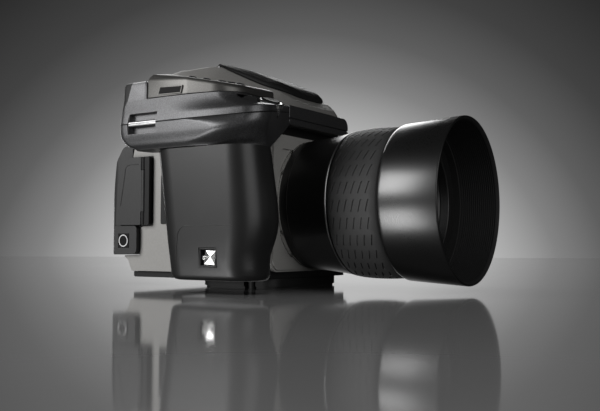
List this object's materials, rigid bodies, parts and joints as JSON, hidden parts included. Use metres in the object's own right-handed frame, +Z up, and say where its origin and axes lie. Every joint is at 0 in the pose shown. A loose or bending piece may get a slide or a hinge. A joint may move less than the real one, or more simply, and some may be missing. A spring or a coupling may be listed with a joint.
{
  "type": "medium format digital camera",
  "caption": "Modular reflex camera with side grip, waist-height finder housing, digital back, standard lens with focus ring and a round lens hood.",
  "frame": {"origin": "centre of the large tripod socket at the underside of the base plate", "axes": "+Z up, the lens looks along -Y, the hand grip is on -X"},
  "size_m": [0.1507, 0.2317, 0.1336],
  "materials": {
    "charcoal_paint": "satin",
    "warm_grey_metal": "satin",
    "grip_rubber": "matt",
    "black_metal": "semi-matt",
    "hood_plastic": "semi-matt",
    "key_plastic": "matt",
    "bright_metal": "polished",
    "optical_glass": "coated",
    "display_glass": "gloss",
    "mirror_silver": "silvered"
  },
  "bodies": {
    "camera": {"body_casting": "black_metal", "front_plate": "warm_grey_metal", "lens_mount": "bright_metal", "base_plate": "black_metal", "left_cover": "charcoal_paint", "focusing_screen": "optical_glass", "light_baffle": "black_metal", "grip_lower_shell": "charcoal_paint", "grip_upper_shell": "charcoal_paint", "grip_top_cover": "warm_grey_metal", "grip_display": "display_glass", "thumb_rest": "grip_rubber", "strap_bars": "bright_metal", "grip_rail": "black_metal", "shutter_collar": "bright_metal", "wheel_axles": "bright_metal", "finder_fascia": "charcoal_paint", "finder_housing": "warm_grey_metal", "prism": "optical_glass", "eyepiece_tube": "black_metal", "eyepiece_glass": "optical_glass", "eyecup": "grip_rubber", "flash_hinge_pin": "bright_metal", "accessory_shoe": "bright_metal", "back_housing": "warm_grey_metal", "back_cover": "charcoal_paint", "back_foot": "black_metal", "sensor_carrier": "black_metal", "sensor_glass": "optical_glass", "card_hinge": "black_metal", "card_hinge_pin": "bright_metal", "rear_display": "display_glass"},
    "reflex_mirror": {"reflex_mirror": "mirror_silver"},
    "shutter_button": {"shutter_button": "black_metal"},
    "front_wheel": {"front_wheel": "grip_rubber"},
    "rear_wheel": {"rear_wheel": "grip_rubber"},
    "top_button_1": {"top_button_1": "key_plastic"},
    "top_button_2": {"top_button_2": "key_plastic"},
    "top_button_3": {"top_button_3": "key_plastic"},
    "top_button_4": {"top_button_4": "key_plastic"},
    "top_button_5": {"top_button_5": "key_plastic"},
    "battery": {"battery_grip": "grip_rubber", "battery_lever_frame": "black_metal"},
    "battery_lever": {"battery_lever": "bright_metal"},
    "dioptre_knob": {"dioptre_knob": "grip_rubber"},
    "flash_lid": {"flash_lid": "charcoal_paint", "flash_window": "optical_glass"},
    "card_door": {"card_door": "charcoal_paint"},
    "navigation_pad": {"navigation_pad": "key_plastic"},
    "left_key": {"left_key": "key_plastic"},
    "right_key": {"right_key": "key_plastic"},
    "back_release": {"back_release": "bright_metal"},
    "lens_release": {"lens_release": "bright_metal"},
    "lens": {"lens_barrel": "black_metal", "trim_ring": "bright_metal", "front_ring": "black_metal", "lens_glass": "optical_glass", "leaf_shutter": "black_metal"},
    "focus_ring": {"focus_ring": "grip_rubber"},
    "lens_hood": {"lens_hood": "hood_plastic"}
  },
  "joints": [
    {"name": "mirror_swing", "type": "hinge", "parent": "camera", "child": "reflex_mirror", "pos_m": [0, 0.01406, 0.06426], "axis": [-1, 0, 0], "range_deg": [0, 45], "stiffness_Nm_per_rad": 0.02},
    {"name": "shutter_press", "type": "slide", "parent": "camera", "child": "shutter_button", "axis": [0.129, 0.3746, -0.9182], "range_m": [0, 0.0015], "stiffness_N_per_m": 1200},
    {"name": "front_wheel_turn", "type": "hinge", "parent": "camera", "child": "front_wheel", "pos_m": [-0.079, -0.051, 0.094], "axis": [0.9135, 0.4067, 0], "continuous": true},
    {"name": "rear_wheel_turn", "type": "hinge", "parent": "camera", "child": "rear_wheel", "pos_m": [-0.07, 0.0195, 0.1055], "axis": [0, 0, 1], "continuous": true},
    {"name": "top_button_1_press", "type": "slide", "parent": "camera", "child": "top_button_1", "axis": [0.0488, 0.2101, -0.9765], "range_m": [0, 0.0007], "stiffness_N_per_m": 2000},
    {"name": "top_button_2_press", "type": "slide", "parent": "camera", "child": "top_button_2", "axis": [0.0488, 0.2101, -0.9765], "range_m": [0, 0.0007], "stiffness_N_per_m": 2000},
    {"name": "top_button_3_press", "type": "slide", "parent": "camera", "child": "top_button_3", "axis": [0.0488, 0.2101, -0.9765], "range_m": [0, 0.0007], "stiffness_N_per_m": 2000},
    {"name": "top_button_4_press", "type": "slide", "parent": "camera", "child": "top_button_4", "axis": [0.0488, 0.2101, -0.9765], "range_m": [0, 0.0007], "stiffness_N_per_m": 2000},
    {"name": "top_button_5_press", "type": "slide", "parent": "camera", "child": "top_button_5", "axis": [0.0488, 0.2101, -0.9765], "range_m": [0, 0.0007], "stiffness_N_per_m": 2000},
    {"name": "battery_slide", "type": "slide", "parent": "camera", "child": "battery", "axis": [0, 0, -1], "range_m": [0, 0.06]},
    {"name": "battery_lever_swing", "type": "hinge", "parent": "battery", "child": "battery_lever", "pos_m": [-0.0902, -0.031, 0.0182], "axis": [0, 0, -1], "range_deg": [0, 80]},
    {"name": "dioptre_turn", "type": "hinge", "parent": "camera", "child": "dioptre_knob", "pos_m": [0.042, 0.034, 0.103], "axis": [1, 0, 0], "range_deg": [-120, 120]},
    {"name": "flash_lid_swing", "type": "hinge", "parent": "camera", "child": "flash_lid", "pos_m": [0, 0.0106, 0.1308], "axis": [-1, 0, 0], "range_deg": [0, 35]},
    {"name": "card_door_swing", "type": "hinge", "parent": "camera", "child": "card_door", "pos_m": [-0.0439, 0.0547, 0.057], "axis": [0, 0, 1], "range_deg": [0, 100]},
    {"name": "navigation_pad_press", "type": "slide", "parent": "camera", "child": "navigation_pad", "axis": [0, -1, 0], "range_m": [0, 0.0006], "stiffness_N_per_m": 2000},
    {"name": "left_key_press", "type": "slide", "parent": "camera", "child": "left_key", "axis": [0, -1, 0], "range_m": [0, 0.0006], "stiffness_N_per_m": 2000},
    {"name": "right_key_press", "type": "slide", "parent": "camera", "child": "right_key", "axis": [0, -1, 0], "range_m": [0, 0.0006], "stiffness_N_per_m": 2000},
    {"name": "back_release_press", "type": "slide", "parent": "camera", "child": "back_release", "axis": [-1, 0, 0], "range_m": [0, 0.001], "stiffness_N_per_m": 1500},
    {"name": "lens_release_press", "type": "slide", "parent": "camera", "child": "lens_release", "axis": [0, 1, 0], "range_m": [0, 0.0015], "stiffness_N_per_m": 1500},
    {"name": "lens_bayonet", "type": "hinge", "parent": "camera", "child": "lens", "pos_m": [0, -0.04, 0.048], "axis": [0, -1, 0], "range_deg": [0, 60]},
    {"name": "focus_turn", "type": "hinge", "parent": "lens", "child": "focus_ring", "pos_m": [0, -0.087, 0.048], "axis": [0, -1, 0], "range_deg": [-50, 50]},
    {"name": "hood_bayonet", "type": "hinge", "parent": "lens", "child": "lens_hood", "pos_m": [0, -0.103, 0.048], "axis": [0, -1, 0], "range_deg": [0, 60]}
  ]
}
